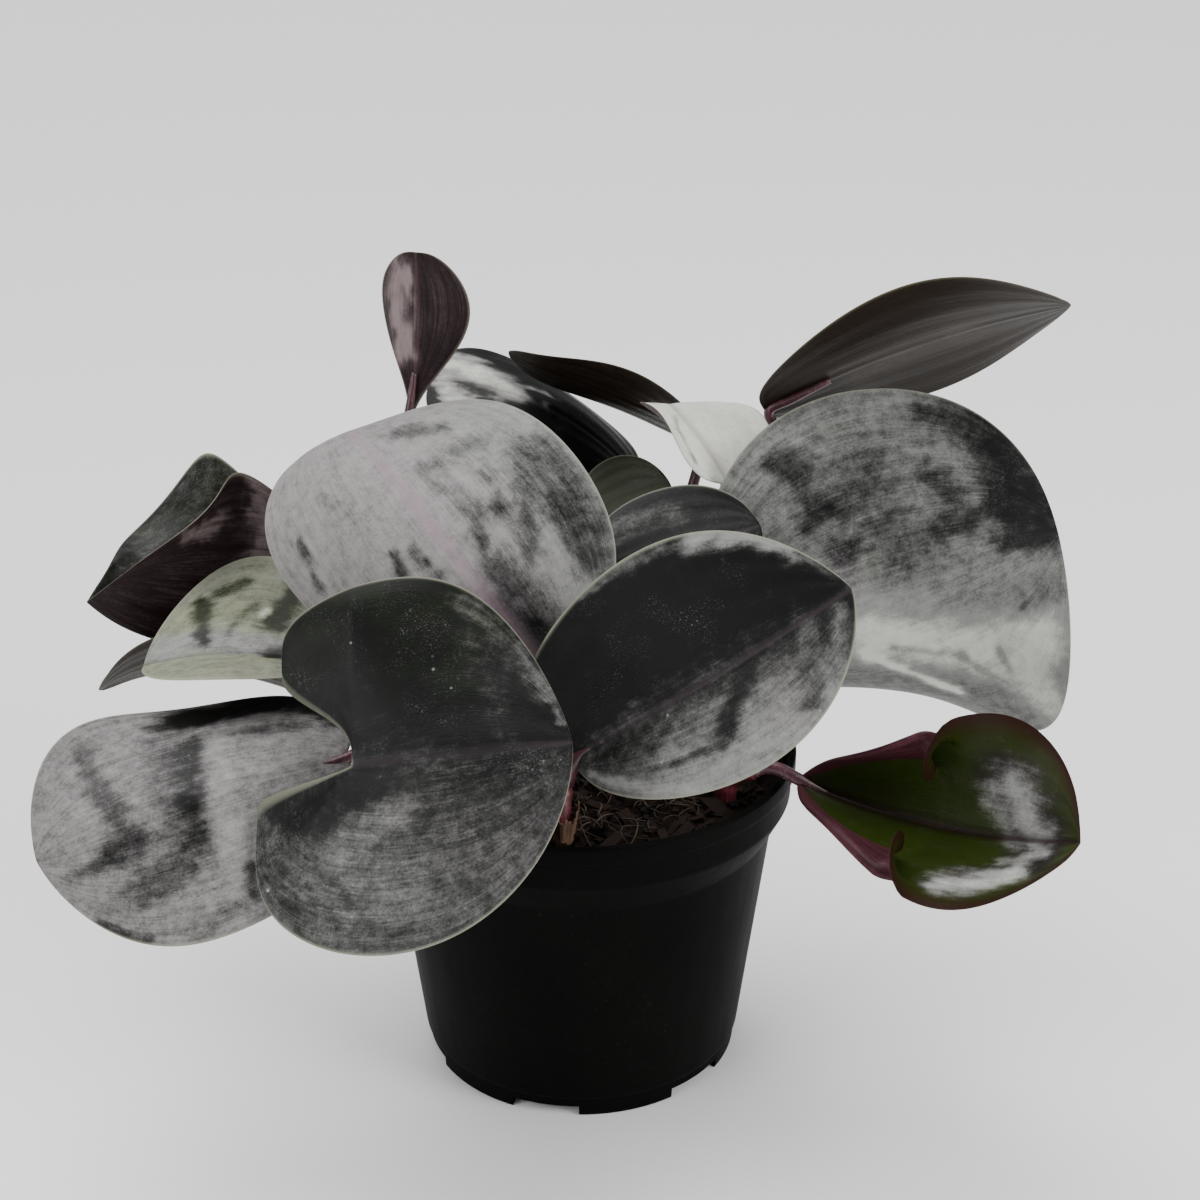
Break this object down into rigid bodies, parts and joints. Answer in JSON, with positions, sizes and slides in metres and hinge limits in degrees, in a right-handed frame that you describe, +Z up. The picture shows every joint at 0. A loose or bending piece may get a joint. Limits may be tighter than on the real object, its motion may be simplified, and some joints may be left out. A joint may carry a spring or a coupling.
{
  "type": "potted geogenanthus",
  "caption": "House plant with round, dark, silver-bloomed leaves on short burgundy shoots, standing in potting mix in a plain round nursery pot that rests on its flat base.",
  "frame": {"origin": "the middle of the pot's flat underside", "axes": "+Z up along the pot's axis, +X to the right of the side that is seen in the picture, which is -Y"},
  "size_m": [0.2747, 0.2182, 0.2204],
  "materials": {
    "pot_plastic": "black moulded plastic, matt and a little dusty",
    "potting_mix": "coarse brown bark and coir fibre, dry on top",
    "stem": "burgundy plant stem, satin",
    "leaf": "near-black green with a silvery lilac bloom above, dull burgundy brown below, pale thin margin"
  },
  "bodies": {
    "root": {"pot": "pot_plastic", "soil": "potting_mix", "stem_front": "stem", "stem_left": "stem", "stem_back_left": "stem", "stem_middle": "stem", "stem_back": "stem", "stem_right": "stem", "stem_low_right": "stem", "leaf_front_right": "leaf", "leaf_front_round": "leaf", "leaf_low_left": "leaf", "leaf_crown": "leaf", "leaf_right_large": "leaf", "leaf_low_right_funnel": "leaf", "leaf_top_right": "leaf", "leaf_top_spoon": "leaf", "leaf_back_arched": "leaf", "leaf_back_pale": "leaf", "leaf_back_middle": "leaf", "leaf_left_cupped": "leaf", "leaf_left_pale": "leaf", "leaf_left_under": "leaf", "leaf_back_small": "leaf", "leaf_centre_small": "leaf"}
  },
  "joints": []
}
